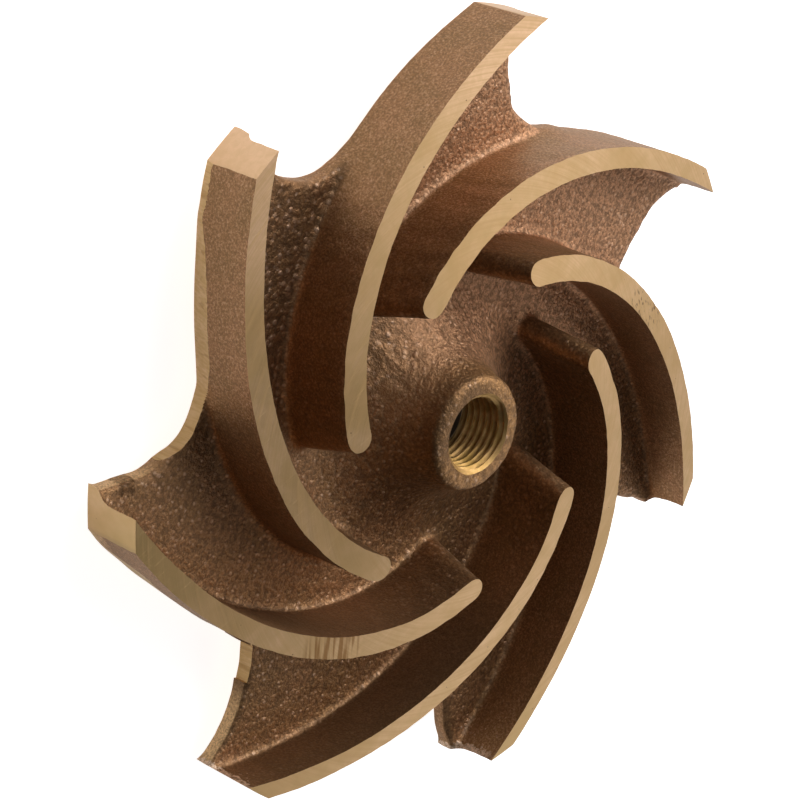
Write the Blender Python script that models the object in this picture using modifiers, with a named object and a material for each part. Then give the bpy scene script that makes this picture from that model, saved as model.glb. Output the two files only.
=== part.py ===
# Semi-open pump impeller, sand cast in one piece in bronze and then machined.
#
# The axis is Z and the suction side faces +Z. The origin lies on the axis at the
# machined seat on the back of the hub, and the middle of the first vane's tip is
# on +X. Seen from the front the vanes sweep outwards clockwise.

import math

import bmesh
import bpy

MM = 0.001

# The wheel: a shroud plate scalloped between seven vanes
VANE_COUNT = 7
OUTER_RADIUS = 63.5 * MM
SHROUD_THICKNESS = 2.7 * MM
SHROUD_BACK_Z = 4.0 * MM
FLOOR_Z = SHROUD_BACK_Z + SHROUD_THICKNESS

# The vanes: their angle is measured from the tangent, at the hub and at the rim
VANE_ANGLE_HUB = math.radians(25.9)
VANE_ANGLE_RIM = math.radians(34.4)
VANE_ANGLE_HUB_RADIUS = 25.0 * MM
VANE_THICKNESS_HUB = 4.2 * MM
VANE_THICKNESS_RIM = 2.9 * MM
VANE_HEIGHT = 13.3 * MM
VANE_END_RADIUS_FRONT = 26.4 * MM
VANE_END_RADIUS_FLOOR = 24.6 * MM

# The front edges of the vanes are turned to a shallow cone, highest at the hub
FACE_ANGLE = math.radians(8.2)
FACE_RADIUS = 26.0 * MM
FACE_Z = FLOOR_Z + VANE_HEIGHT

# The scallop leaves the back of a vane in a tight root arc, then opens in a wider arc out to
# the next tip. Its end on the rim is an angle from the tip of the vane that it leaves.
SCALLOP_ROOT_RADIUS = 10.5 * MM
SCALLOP_ROOT_SWEEP = math.radians(70.0)
SCALLOP_START_RADIUS = 45.6 * MM
SCALLOP_END_ANGLE = math.radians(48.0)
SHROUD_LEDGE = 0.05 * MM

# The hub: a flat nose, a bell-shaped flare down to the shroud, a boss behind
NOSE_Z = FACE_Z - 0.45 * MM
NOSE_RADIUS = 8.8 * MM
NOSE_EDGE = 0.5 * MM
FLARE_FOOT_RADIUS = 24.0 * MM
FLARE_RADIUS = 15.1 * MM
FLARE_FOOT_DEPTH = 0.3 * MM
BOSS_RADIUS = 17.0 * MM
BOSS_EDGE = 0.8 * MM

# The bore: threaded for a 1/2-20 shaft end, with a plain pilot behind it
THREAD_MINOR_RADIUS = 5.66 * MM
MOUTH_RADIUS = 6.45 * MM
PILOT_RADIUS = 8.0 * MM
PILOT_DEPTH = 10.0 * MM
PILOT_EDGE = 0.6 * MM

# Fineness of the round and curved faces
TURNED_SEGMENTS = 84
SIDE_STATIONS = 22
END_STATIONS = 6
FLARE_STATIONS = 10
SCALLOP_STATIONS = 8
LEDGE_STATIONS = 10
OVERRUN = 3.0 * MM


def clear_scene():
    for thing in list(bpy.data.objects):
        bpy.data.objects.remove(thing, do_unlink=True)


def new_collection(name):
    collection = bpy.data.collections.new(name)
    bpy.context.scene.collection.children.link(collection)
    return collection


def bronze():
    material = bpy.data.materials.new("bronze")
    material.use_nodes = True
    shader = material.node_tree.nodes["Principled BSDF"]
    shader.inputs["Base Color"].default_value = (0.42, 0.23, 0.12, 1.0)
    shader.inputs["Metallic"].default_value = 0.85
    shader.inputs["Roughness"].default_value = 0.45
    return material


def as_guide(thing):
    thing.hide_render = True
    thing.display_type = "WIRE"


def polar(radius, angle):
    return radius * math.cos(angle), radius * math.sin(angle)


def share_of_span(radius):
    return (radius - VANE_ANGLE_HUB_RADIUS) / (OUTER_RADIUS - VANE_ANGLE_HUB_RADIUS)


def vane_angle(radius):
    return VANE_ANGLE_HUB + (VANE_ANGLE_RIM - VANE_ANGLE_HUB) * share_of_span(radius)


def vane_thickness(radius):
    return VANE_THICKNESS_HUB + (VANE_THICKNESS_RIM - VANE_THICKNESS_HUB) * share_of_span(radius)


def middle_angle(radius):
    """Polar angle of the vane's middle line: zero at the rim, growing towards the hub."""
    steps = 60
    width = (OUTER_RADIUS - radius) / steps
    total = 0.0
    for step in range(steps):
        here = radius + (step + 0.5) * width
        total += width / (here * math.tan(vane_angle(here)))
    return total


def beside_middle(radius, offset):
    """A point at a distance from the middle line, positive towards the convex back."""
    angle = middle_angle(radius)
    slope = vane_angle(radius)
    x, y = polar(radius, angle)
    x += offset * (math.cos(slope) * math.cos(angle) - math.sin(slope) * math.sin(angle))
    y += offset * (math.cos(slope) * math.sin(angle) + math.sin(slope) * math.cos(angle))
    return x, y


def vane_outline(end_radius):
    """Outline of one vane in plan: hollow face inwards, round hub end, convex back outwards."""
    last_radius = OUTER_RADIUS + OVERRUN
    radii = []
    for station in range(SIDE_STATIONS + 1):
        radii.append(end_radius + (last_radius - end_radius) * station / SIDE_STATIONS)
    hollow = [beside_middle(radius, -vane_thickness(radius) / 2) for radius in radii]
    back = [beside_middle(radius, vane_thickness(radius) / 2) for radius in radii]
    centre = beside_middle(end_radius, 0.0)
    half = vane_thickness(end_radius) / 2
    back_direction = middle_angle(end_radius) + vane_angle(end_radius)
    end = []
    for station in range(1, END_STATIONS):
        turn = back_direction + math.pi * (1 - station / END_STATIONS)
        end.append((centre[0] + half * math.cos(turn), centre[1] + half * math.sin(turn)))
    hollow.reverse()
    return hollow + end + back


def loft(name, low_outline, low_z, high_outline, high_z, collection):
    """A solid between two outlines that have the same number of points."""
    mesh = bpy.data.meshes.new(name)
    shape = bmesh.new()
    low = [shape.verts.new((x, y, low_z)) for x, y in low_outline]
    high = [shape.verts.new((x, y, high_z)) for x, y in high_outline]
    count = len(low)
    for index in range(count):
        after = (index + 1) % count
        shape.faces.new((low[index], low[after], high[after], high[index]))
    shape.faces.new(low)
    shape.faces.new(high)
    bmesh.ops.recalc_face_normals(shape, faces=shape.faces)
    shape.to_mesh(mesh)
    shape.free()
    thing = bpy.data.objects.new(name, mesh)
    collection.objects.link(thing)
    return thing


def turned(name, profile, closed, collection):
    """A turned solid: the profile runs down the outer side, as radius and height."""
    mesh = bpy.data.meshes.new(name)
    points = [(radius, 0.0, height) for radius, height in profile]
    edges = [(index, index + 1) for index in range(len(points) - 1)]
    if closed:
        edges.append((len(points) - 1, 0))
    mesh.from_pydata(points, edges, [])
    thing = bpy.data.objects.new(name, mesh)
    collection.objects.link(thing)
    screw = thing.modifiers.new("turn", "SCREW")
    screw.steps = TURNED_SEGMENTS
    screw.render_steps = TURNED_SEGMENTS
    screw.use_merge_vertices = True
    screw.merge_threshold = 0.00001
    return thing


def boolean(thing, other, operation):
    step = thing.modifiers.new(operation.lower() + "_" + other.name, "BOOLEAN")
    step.operation = operation
    step.solver = "EXACT"
    step.object = other


def face_height(radius):
    return FACE_Z - (radius - FACE_RADIUS) * math.tan(FACE_ANGLE)


def end_radius_at(height):
    """Radius where a vane's middle line ends: the hub end leans inwards towards the floor."""
    share = (height - FLOOR_Z) / VANE_HEIGHT
    return VANE_END_RADIUS_FLOOR + (VANE_END_RADIUS_FRONT - VANE_END_RADIUS_FLOOR) * share


def make_vane(name, turn, collection):
    low_z = FLOOR_Z - SHROUD_THICKNESS / 2
    high_z = FACE_Z + OVERRUN
    low = rotated(vane_outline(end_radius_at(low_z)), turn)
    high = rotated(vane_outline(end_radius_at(high_z)), turn)
    return loft(name, low, low_z, high, high_z, collection)


def rotated(points, angle):
    cosine, sine = math.cos(angle), math.sin(angle)
    return [(x * cosine - y * sine, x * sine + y * cosine) for x, y in points]


def shroud_edge_point(radius):
    return beside_middle(radius, vane_thickness(radius) / 2 + SHROUD_LEDGE)


def arc_points(centre, radius, first_turn, sweep, stations):
    """Points along an arc that turns clockwise by the sweep."""
    points = []
    for station in range(stations + 1):
        turn = first_turn - sweep * station / stations
        points.append((centre[0] + radius * math.cos(turn),
                       centre[1] + radius * math.sin(turn)))
    return points


def scallop():
    """One scallop, from where it leaves a vane's back to just past the rim."""
    start = shroud_edge_point(SCALLOP_START_RADIUS)
    centre = beside_middle(SCALLOP_START_RADIUS, vane_thickness(SCALLOP_START_RADIUS) / 2
                           + SHROUD_LEDGE + SCALLOP_ROOT_RADIUS)
    first_turn = math.atan2(start[1] - centre[1], start[0] - centre[0])
    root = arc_points(centre, SCALLOP_ROOT_RADIUS, first_turn, SCALLOP_ROOT_SWEEP,
                      SCALLOP_STATIONS)
    # the wide arc goes on from the root arc in the same direction and passes the rim point
    joint = root[-1]
    turn = first_turn - SCALLOP_ROOT_SWEEP
    inward = (-math.cos(turn), -math.sin(turn))
    rim = polar(OUTER_RADIUS, SCALLOP_END_ANGLE)
    chord = (rim[0] - joint[0], rim[1] - joint[1])
    wide_radius = math.hypot(*chord) ** 2 / (2 * (chord[0] * inward[0] + chord[1] * inward[1]))
    wide_centre = (joint[0] + wide_radius * inward[0], joint[1] + wide_radius * inward[1])
    sweep = 2 * math.asin(math.hypot(*chord) / (2 * wide_radius)) + OVERRUN / wide_radius
    wide = arc_points(wide_centre, wide_radius, turn, sweep, SCALLOP_STATIONS)
    return root + wide[1:]


def shroud_outline():
    """The shroud's edge follows each vane's back, then a scallop out to the next tip."""
    first_radius = OUTER_RADIUS + OVERRUN
    sector = []
    for station in range(LEDGE_STATIONS):
        share = station / LEDGE_STATIONS
        radius = first_radius + (SCALLOP_START_RADIUS - first_radius) * share
        sector.append(shroud_edge_point(radius))
    sector += scallop()
    outline = []
    for index in range(VANE_COUNT):
        outline += rotated(sector, 2 * math.pi * index / VANE_COUNT)
    return outline


def make_shroud(collection):
    outline = shroud_outline()
    curve = bpy.data.curves.new("shroud", "CURVE")
    curve.dimensions = "2D"
    curve.fill_mode = "BOTH"
    curve.extrude = (SHROUD_THICKNESS + OVERRUN) / 2
    spline = curve.splines.new("POLY")
    spline.points.add(len(outline) - 1)
    for point, (x, y) in zip(spline.points, outline):
        point.co = (x, y, 0.0, 1.0)
    spline.use_cyclic_u = True
    flat = bpy.data.objects.new("shroud_curve", curve)
    collection.objects.link(flat)
    flat.location.z = FLOOR_Z - curve.extrude
    return mesh_from(flat, "shroud", collection)


def mesh_from(source, name, collection):
    """The evaluated shape of an object as a plain mesh in world space; the source goes."""
    bpy.context.view_layer.update()
    graph = bpy.context.evaluated_depsgraph_get()
    mesh = bpy.data.meshes.new_from_object(source.evaluated_get(graph))
    mesh.name = name
    mesh.transform(source.matrix_world)
    shape = bmesh.new()
    shape.from_mesh(mesh)
    bmesh.ops.remove_doubles(shape, verts=shape.verts, dist=0.000005)
    bmesh.ops.recalc_face_normals(shape, faces=shape.faces)
    shape.to_mesh(mesh)
    shape.free()
    thing = bpy.data.objects.new(name, mesh)
    collection.objects.link(thing)
    bpy.data.objects.remove(source, do_unlink=True)
    return thing


def make_hub(collection):
    """Flat nose and bell-shaped flare, run on below the shroud for the back to be cut from."""
    centre_z = FLOOR_Z - FLARE_FOOT_DEPTH + FLARE_RADIUS
    neck_z = NOSE_Z - NOSE_EDGE
    neck_turn = math.pi + math.asin((centre_z - neck_z) / FLARE_RADIUS)
    foot_turn = 1.5 * math.pi
    profile = [(0.0, NOSE_Z), (NOSE_RADIUS - NOSE_EDGE, NOSE_Z)]
    for station in range(FLARE_STATIONS + 1):
        turn = neck_turn + (foot_turn - neck_turn) * station / FLARE_STATIONS
        profile.append((FLARE_FOOT_RADIUS + FLARE_RADIUS * math.cos(turn),
                        centre_z + FLARE_RADIUS * math.sin(turn)))
    profile += [(FLARE_FOOT_RADIUS, -OVERRUN), (0.0, -OVERRUN)]
    return turned("hub", profile, False, collection)


def make_turning(collection):
    """All that the lathe leaves: cone, rim, back and seat outside, pilot and bore inside."""
    mouth_reach = MOUTH_RADIUS + OVERRUN
    profile = [
        (mouth_reach, face_height(mouth_reach)),
        (OUTER_RADIUS, face_height(OUTER_RADIUS)),
        (OUTER_RADIUS, SHROUD_BACK_Z),
        (BOSS_RADIUS, SHROUD_BACK_Z),
        (BOSS_RADIUS, BOSS_EDGE),
        (BOSS_RADIUS - BOSS_EDGE, 0.0),
        (PILOT_RADIUS + PILOT_EDGE, 0.0),
        (PILOT_RADIUS, PILOT_EDGE),
        (PILOT_RADIUS, PILOT_DEPTH),
        (THREAD_MINOR_RADIUS, PILOT_DEPTH),
        (THREAD_MINOR_RADIUS, NOSE_Z - (MOUTH_RADIUS - THREAD_MINOR_RADIUS)),
        (mouth_reach, NOSE_Z + OVERRUN),
    ]
    return turned("turning", profile, True, collection)


def make_impeller():
    impeller = new_collection("impeller")
    guides = new_collection("cutters")
    casting = make_hub(guides)
    boolean(casting, make_shroud(guides), "UNION")
    for index in range(VANE_COUNT):
        turn = 2 * math.pi * index / VANE_COUNT
        boolean(casting, make_vane("vane_%d" % (index + 1), turn, guides), "UNION")
    boolean(casting, make_turning(guides), "INTERSECT")
    finished = mesh_from(casting, "impeller_casting", impeller)
    for guide in guides.objects:
        as_guide(guide)
    finished.data.materials.clear()
    finished.data.materials.append(bronze())
    finished.data.shade_smooth()
    finished.data.set_sharp_from_angle(angle=math.radians(35))


clear_scene()
make_impeller()
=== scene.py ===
# %% [markdown]
# # A sand-cast bronze pump impeller
#
# The part is one casting. Molten bronze filled a mould of packed sand, so its skin is brown and
# pebbly. Then a lathe turned the front edges of the vanes, the tips, the back and the bore, and
# there the metal is bright. The model is made in the same order: a rough body first, then the
# cuts. That way the ragged line where skin meets cut comes by itself, as it does on the real one.

# %% Load the solid that the looks are built around
import math

import bmesh
import bpy
import numpy as np
from mathutils import Matrix, Vector, noise
from mathutils.kdtree import KDTree


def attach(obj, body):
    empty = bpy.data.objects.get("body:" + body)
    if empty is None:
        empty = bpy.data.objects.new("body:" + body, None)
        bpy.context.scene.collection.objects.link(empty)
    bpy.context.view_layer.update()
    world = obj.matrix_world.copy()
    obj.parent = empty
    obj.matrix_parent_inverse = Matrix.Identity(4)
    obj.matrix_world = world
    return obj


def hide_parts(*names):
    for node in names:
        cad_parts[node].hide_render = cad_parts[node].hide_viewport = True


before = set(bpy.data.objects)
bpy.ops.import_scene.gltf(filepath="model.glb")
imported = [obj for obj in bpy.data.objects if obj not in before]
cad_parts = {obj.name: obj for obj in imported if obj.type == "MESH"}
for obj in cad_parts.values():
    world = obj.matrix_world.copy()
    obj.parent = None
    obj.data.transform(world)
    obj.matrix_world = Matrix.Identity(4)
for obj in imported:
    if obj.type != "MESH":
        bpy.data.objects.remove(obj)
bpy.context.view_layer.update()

MM = 0.001

# %% [markdown]
# ## Sizes
#
# These are the sizes of the turned faces, measured from the axis and from the seat at the back.
# They could be read off the solid, but a machinist works from a drawing, and a short list like
# this one is that drawing. One radius, its height and a slope give the flat cone that holds the
# front edges of the vanes.

# %% Sizes of the turned faces
FACE_RADIUS = 26.0 * MM
FACE_Z = 20.0 * MM
FACE_ANGLE = math.radians(8.2)
RIM_RADIUS = 63.46 * MM
RIM_VANE_ANGLE = math.radians(34.4)
BACK_Z = 4.0 * MM
BOSS_RADIUS = 17.0 * MM
BOSS_EDGE = 0.8 * MM
NOSE_Z = 19.55 * MM
MOUTH_RADIUS = 6.45 * MM
PILOT_RADIUS = 8.0 * MM
PILOT_DEPTH = 10.0 * MM
PILOT_EDGE = 0.6 * MM


def face_height(radius):
    return FACE_Z - (radius - FACE_RADIUS) * math.tan(FACE_ANGLE)


print("face at the rim:", round(face_height(RIM_RADIUS) / MM, 2), "mm up")

# %% [markdown]
# ## Camera
#
# The view is set by where the camera stands around the part, how high, how far, and how much it
# is rolled. A camera could also be given a rotation matrix, but these four numbers can be read
# and changed by hand. The long lens keeps the perspective of a product photograph.

# %% Camera
VIEW_AZIMUTH = -81.096
VIEW_ELEVATION = 40.995
VIEW_ROLL = math.radians(112.385)
VIEW_DISTANCE = 0.454965
AIM = Vector((2.8525, -20.1615, 20.0)) * MM
LENS = 139.296
FILM_WIDTH = 36.0
NEAREST_SEEN = 0.01


def towards(azimuth, elevation):
    """The direction that two angles in degrees point to."""
    azimuth = math.radians(azimuth)
    elevation = math.radians(elevation)
    return Vector((math.cos(elevation) * math.cos(azimuth),
                   math.cos(elevation) * math.sin(azimuth), math.sin(elevation)))


camera_data = bpy.data.cameras.new("camera")
camera_data.lens = LENS
camera_data.sensor_width = FILM_WIDTH
camera_data.clip_start = NEAREST_SEEN
camera = bpy.data.objects.new("camera", camera_data)
bpy.context.scene.collection.objects.link(camera)
towards_camera = towards(VIEW_AZIMUTH, VIEW_ELEVATION)
level = towards_camera.to_track_quat("Z", "Y").to_matrix().to_4x4()
camera.matrix_world = (Matrix.Translation(AIM + towards_camera * VIEW_DISTANCE)
                       @ level @ Matrix.Rotation(VIEW_ROLL, 4, "Z"))
bpy.context.scene.camera = camera
print("camera at", [round(value, 3) for value in camera.matrix_world.translation])

# %% [markdown]
# ## Tools for meshes
#
# A few small helpers do the bookkeeping: one makes an object, two take what its modifiers make of
# it, and two read or write all the points at once as an array, which is much faster than walking
# over them one at a time.

# %% Mesh helpers
def add_object(name, mesh):
    thing = bpy.data.objects.new(name, mesh)
    bpy.context.scene.collection.objects.link(thing)
    return thing


def with_modifiers(thing):
    """The object as its modifiers leave it."""
    bpy.context.view_layer.update()
    return thing.evaluated_get(bpy.context.evaluated_depsgraph_get())


def bake_modifiers(thing):
    mesh = bpy.data.meshes.new_from_object(with_modifiers(thing))
    thing.modifiers.clear()
    thing.data = mesh


def read_points(mesh, name="co"):
    """A row of three numbers for each point, of its place or, with "normal", of its normal."""
    values = np.empty(len(mesh.vertices) * 3)
    mesh.vertices.foreach_get(name, values)
    return values.reshape(-1, 3)


def write_points(mesh, points):
    mesh.vertices.foreach_set("co", points.ravel())
    mesh.update()


def count_triangles(mesh):
    mesh.calc_loop_triangles()
    return len(mesh.loop_triangles)


def as_share(values):
    """The values, cut off below zero and above one."""
    return np.clip(values, 0.0, 1.0)


print("mesh helpers are ready")

# %% [markdown]
# ## The casting before it is machined
#
# A casting comes out of the mould larger than the finished part wherever a lathe will cut. The
# finished solid is copied, and its turned faces are pushed outwards by this allowance: the front
# edges up, the back down. Scaling the whole solid would also thicken the vanes, whose sides are
# never machined.

# %% Casting with its machining allowance
ALLOWANCE = 2.0 * MM
ON_FACE = 0.02 * MM
SAME_PLACE = 0.001 * MM

blank = bmesh.new()
blank.from_mesh(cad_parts["impeller_casting"].data)
bmesh.ops.remove_doubles(blank, verts=blank.verts, dist=SAME_PLACE)

front, back = [], []
for vertex in blank.verts:
    radius = math.hypot(vertex.co.x, vertex.co.y)
    if vertex.co.z < BACK_Z + ON_FACE:
        back.append(vertex)
    elif radius > FACE_RADIUS / 2 and abs(vertex.co.z - face_height(radius)) < ON_FACE:
        front.append(vertex)
bmesh.ops.translate(blank, verts=front, vec=(0, 0, ALLOWANCE))
bmesh.ops.translate(blank, verts=back, vec=(0, 0, -ALLOWANCE))
print("moved:", len(front), "front and", len(back), "back points")

# %% [markdown]
# ## Longer tips and a closed bore
#
# The tips get the most allowance, because a thin pointed tip comes out of the sand badly rounded.
# Their ends are extruded, then turned and stretched together, so that each vane grows along its
# own curve and not straight outwards with a kink. The bore is drilled after casting, so a plug
# fills it. It may overlap the hub, because the next step melts both into one.

# %% Longer tips and a closed bore
TIP_ALLOWANCE = 4.5 * MM
UPRIGHT = 0.5
ON_RIM = 0.06 * MM
PLUG_SIDES = 48
PLUG_TAPER = 1.0 * MM


def is_tip(face):
    """Whether a face stands upright on the rim."""
    reach = min(math.hypot(vertex.co.x, vertex.co.y) for vertex in face.verts)
    return abs(face.normal.z) < UPRIGHT and reach > RIM_RADIUS - ON_RIM


tips = [face for face in blank.faces if is_tip(face)]
longer = bmesh.ops.extrude_face_region(blank, geom=tips)["geom"]
longer = [item for item in longer if isinstance(item, bmesh.types.BMVert)]
swing = TIP_ALLOWANCE / ((RIM_RADIUS + TIP_ALLOWANCE / 2) * math.tan(RIM_VANE_ANGLE))
stretch = 1.0 + TIP_ALLOWANCE / RIM_RADIUS
along_vane = Matrix.Rotation(-swing, 4, "Z") @ Matrix.Diagonal((stretch, stretch, 1.0, 1.0))
bmesh.ops.transform(blank, matrix=along_vane, verts=longer)

plug = bmesh.ops.create_cone(blank, cap_ends=True, segments=PLUG_SIDES,
                             radius1=PILOT_RADIUS + PLUG_TAPER, radius2=PILOT_RADIUS,
                             depth=NOSE_Z + ALLOWANCE)
bmesh.ops.translate(blank, verts=plug["verts"], vec=(0, 0, (NOSE_Z - ALLOWANCE) / 2))
casting_mesh = bpy.data.meshes.new("casting")
blank.to_mesh(casting_mesh)
blank.free()
casting = add_object("casting", casting_mesh)
print("raw casting:", len(casting_mesh.vertices), "points, and", len(tips), "longer tip faces")

# %% [markdown]
# ## An even net
#
# Bumps and soft corners need many points, and a turned solid has long thin faces. Subdividing
# those gives long thin small faces. A voxel remesh rebuilds the body as an even net of small
# squares instead, so that every later step works the same all over.

# %% Even net
NET = 0.42 * MM

remesh = casting.modifiers.new("net", "REMESH")
remesh.mode = "VOXEL"
remesh.voxel_size = NET
bake_modifiers(casting)
print("net:", len(casting.data.polygons), "squares")

# %% [markdown]
# ## No two channels alike
#
# A moulder packs the sand of each channel by hand, so the edge of the disc differs a little from
# one channel to the next, and the tips are not all alike. Moving single corners of the solid
# would leave kinks. A soft brush drags the fine net instead, the way a thumb drags clay: most in
# the middle, less further out.

# %% Soft drags
DRAGS = [
    # angle in degrees, radius, height and reach in mm, then outwards, sideways and up in mm
    (-158.5, 54.0, 5.4, 8.0, 0.9, -1.4, 0.0),
    (-164.0, 49.0, 5.4, 7.0, 1.1, -0.9, 0.0),
    (-172.5, 47.4, 4.5, 8.0, 1.7, -1.6, 0.0),
    (-179.5, 50.0, 4.5, 6.0, 0.3, 0.0, 0.0),
    (148.0, 51.0, 5.4, 8.0, 0.9, -0.7, 0.0),
    (98.8, 58.0, 5.4, 6.0, 0.5, -1.4, 0.0),
    (100.0, 64.0, 7.5, 4.0, 0.0, -0.5, 0.8),
    (47.6, 59.0, 5.4, 6.0, 0.2, -1.2, 0.0),
    (48.2, 64.0, 7.5, 4.0, 0.0, -0.4, 0.8),
    (-106.0, 63.0, 6.7, 5.0, 0.0, 0.3, 0.8),
    (-105.6, 64.0, 9.0, 3.0, 0.0, -0.5, 0.6),
    (-118.5, 46.8, 4.5, 7.0, 0.8, 0.2, 0.0),
    (-110.5, 49.0, 4.5, 6.0, 0.6, 0.0, 0.0),
    (-59.0, 50.5, 4.5, 7.0, 0.4, -1.0, 0.0),
    (-55.6, 59.0, 4.5, 7.0, 0.0, -1.15, 0.0),
]


def drag(points, angle, radius, height, reach, outwards, sideways, up):
    """Move the points round one place, most in the middle and not at all past the reach."""
    angle = math.radians(angle)
    out = np.array((math.cos(angle), math.sin(angle), 0.0))
    side = np.array((-math.sin(angle), math.cos(angle), 0.0))
    above = np.array((0.0, 0.0, 1.0))
    away = np.linalg.norm(points / MM - out * radius - above * height, axis=1) / reach
    weight = as_share(1.0 - away * away) ** 2
    move = out * outwards + side * sideways + above * up
    return points + weight[:, None] * move * MM


points = read_points(casting.data)
for place in DRAGS:
    points = drag(points, *place)
write_points(casting.data, points)
print("drags:", len(DRAGS))

# %% [markdown]
# ## Fillets
#
# In a sand mould no corner is sharp: every outside edge is rounded a little, and every inside
# corner is filled with a generous fillet, because sand crumbles there. Bevels on hundreds of
# crossing edges would be fragile. A few passes of smoothing round everything. Many more are then
# tried, and they count only where they raise the surface. That also tells where the corners are.

# %% Rounded edges and filled corners
ROUNDING_PASSES = 10
FILLET_PASSES = 36
PULL_OF_A_PASS = 0.5
CORNER_RISE = 0.20
CORNER_FADE = 0.16


def smoothed_points(thing, passes):
    smooth = thing.modifiers.new("rounding", "SMOOTH")
    smooth.factor = PULL_OF_A_PASS
    smooth.iterations = passes
    points = read_points(with_modifiers(thing).data)
    thing.modifiers.clear()
    return points


write_points(casting.data, smoothed_points(casting, ROUNDING_PASSES))
points = read_points(casting.data)
normals = read_points(casting.data, "normal")
rise = ((smoothed_points(casting, FILLET_PASSES) - points) * normals).sum(axis=1)
write_points(casting.data, points + normals * np.maximum(rise, 0.0)[:, None])
corner = as_share((rise / MM - CORNER_RISE) / CORNER_FADE)
print("fillets rise by up to", round(float(rise.max()) / MM, 2), "mm")

# %% [markdown]
# ## Skin of the sand
#
# Grains and lumps of the mould leave a skin that rises and falls. The larger bumps are real
# shape here: each point moves along its normal by a noise. Long waves, lumps and smaller lumps
# are added up, since a single noise looks like hammered metal. The floor, which lay against
# coarse sand, is rougher than the walls of the vanes, and the fillets are rougher still. The hub
# also has soft ribs that run down its flank. Bumps finer than the net come in the material.

# %% Bumps of the skin
WAVE_SIZE = 9.0 * MM
WAVE_HEIGHT = 0.10 * MM
LUMP_SIZE = 1.5 * MM
LUMP_HEIGHT_FLOOR = 0.09 * MM
LUMP_HEIGHT_WALL = 0.05 * MM
LUMP_HEIGHT_CORNER = 0.15 * MM
LUMP_SHIFT = 31.7
FLOOR_SLOPE = 0.35
FLOOR_FADE = 0.4
SMALLER_SIZE = 0.55
SMALLER_HEIGHT = 0.6
SMALLER_SHIFT = 7.3
HUB_RADIUS = 23.0 * MM
HUB_FADE = 5.0 * MM
NOSE_EDGE = 11.0 * MM
NOSE_FADE = 2.0 * MM
RIB_LENGTH = 9.0 * MM
RIBS_ROUND = 11.0
RIB_HEIGHT = 0.16 * MM


def noise_at(points, size, shift=0.0):
    scaled = points / size + shift
    return np.array([noise.noise(Vector(point)) for point in scaled])


points = read_points(casting.data)
normals = read_points(casting.data, "normal")
floor_share = as_share((normals[:, 2] - FLOOR_SLOPE) / FLOOR_FADE)
lump_height = LUMP_HEIGHT_WALL + (LUMP_HEIGHT_FLOOR - LUMP_HEIGHT_WALL) * floor_share
lump_height = lump_height + (LUMP_HEIGHT_CORNER - lump_height) * corner
radius = np.hypot(points[:, 0], points[:, 1])
hub_share = as_share((HUB_RADIUS - radius) / HUB_FADE) * as_share((radius - NOSE_EDGE) / NOSE_FADE)
round_hub = np.column_stack((points[:, :2] / radius[:, None] * RIBS_ROUND, radius / RIB_LENGTH))
smaller = noise_at(points, LUMP_SIZE * SMALLER_SIZE, SMALLER_SHIFT)
push = (noise_at(points, WAVE_SIZE) * WAVE_HEIGHT
        + noise_at(points, LUMP_SIZE, LUMP_SHIFT) * lump_height
        + smaller * lump_height * SMALLER_HEIGHT
        + noise_at(round_hub, 1.0) * hub_share * RIB_HEIGHT)
write_points(casting.data, points + normals * push[:, None])
print("skin moves by up to", round(float(abs(push).max()) / MM, 3), "mm")

# %% [markdown]
# ## A note of where the corners are
#
# The material will paint a highlight in the corners, a bright line where the fillets catch the
# light, but the next steps throw most points of this net away. A search tree keeps their places,
# so that each point of the finished part can ask for the nearest point that used to be there.

# %% Places of the skin
skin_places = KDTree(len(points))
for index, point in enumerate(read_points(casting.data)):
    skin_places.insert(point, index)
skin_places.balance()
print("places kept:", len(points), "and in corners:", int((corner > 0).sum()))

# %% [markdown]
# ## Fewer triangles where the skin is calm
#
# The net is equally fine everywhere, also on the flat stretches. Decimate takes triangles away
# where that changes the shape least. The cuts will take about a third of what it leaves, so that
# third is kept on top.

# %% Thinning the net
TRIANGLES_KEPT = 165000
LEFT_BY_THE_CUTS = 0.66

before = count_triangles(casting.data)
thin = casting.modifiers.new("thin", "DECIMATE")
thin.ratio = min(1.0, TRIANGLES_KEPT / (before * LEFT_BY_THE_CUTS))
bake_modifiers(casting)
print("net:", before, "triangles, then", count_triangles(casting.data))

# %% [markdown]
# ## Tools for materials
#
# All the finishes are made of nodes. A node tree written call by call is long and hard to read, so
# a few helpers do the wiring. Most of them return a socket, and a socket can be passed on like a
# number, so a chain of nodes reads almost like a formula.

# %% Nodes and sums
GIVE_A_NUMBER = ("LENGTH", "DISTANCE", "DOT_PRODUCT")


def feed(tree, sockets, values):
    """Feed the named sockets, each from a number or a colour or from another socket."""
    for key, value in values.items():
        if isinstance(value, bpy.types.NodeSocket):
            tree.links.new(value, sockets[key])
        else:
            sockets[key].default_value = value


def add_node(tree, kind, inputs, **settings):
    node = tree.nodes.new("ShaderNode" + kind)
    for name, value in settings.items():
        setattr(node, name, value)
    feed(tree, node.inputs, inputs)
    return node


def maths(tree, operation, *values):
    return add_node(tree, "Math", dict(enumerate(values)), operation=operation).outputs[0]


def times(tree, first, second):
    return maths(tree, "MULTIPLY", first, second)


def larger(tree, first, second):
    return maths(tree, "MAXIMUM", first, second)


def vector_maths(tree, operation, *values):
    output = "Value" if operation in GIVE_A_NUMBER else "Vector"
    node = add_node(tree, "VectorMath", dict(enumerate(values)), operation=operation)
    return node.outputs[output]


def share_of(tree, value, share, base=0.0):
    """A share of the value, on top of the base."""
    return maths(tree, "MULTIPLY_ADD", value, share, base)


def from_to(tree, share, start, end):
    """The start where the share is zero, the end where it is one."""
    return share_of(tree, share, end - start, start)


def mix_colours(tree, share, first, second):
    inputs = {0: share, 6: first, 7: second}
    return add_node(tree, "Mix", inputs, data_type="RGBA").outputs[2]


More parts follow.
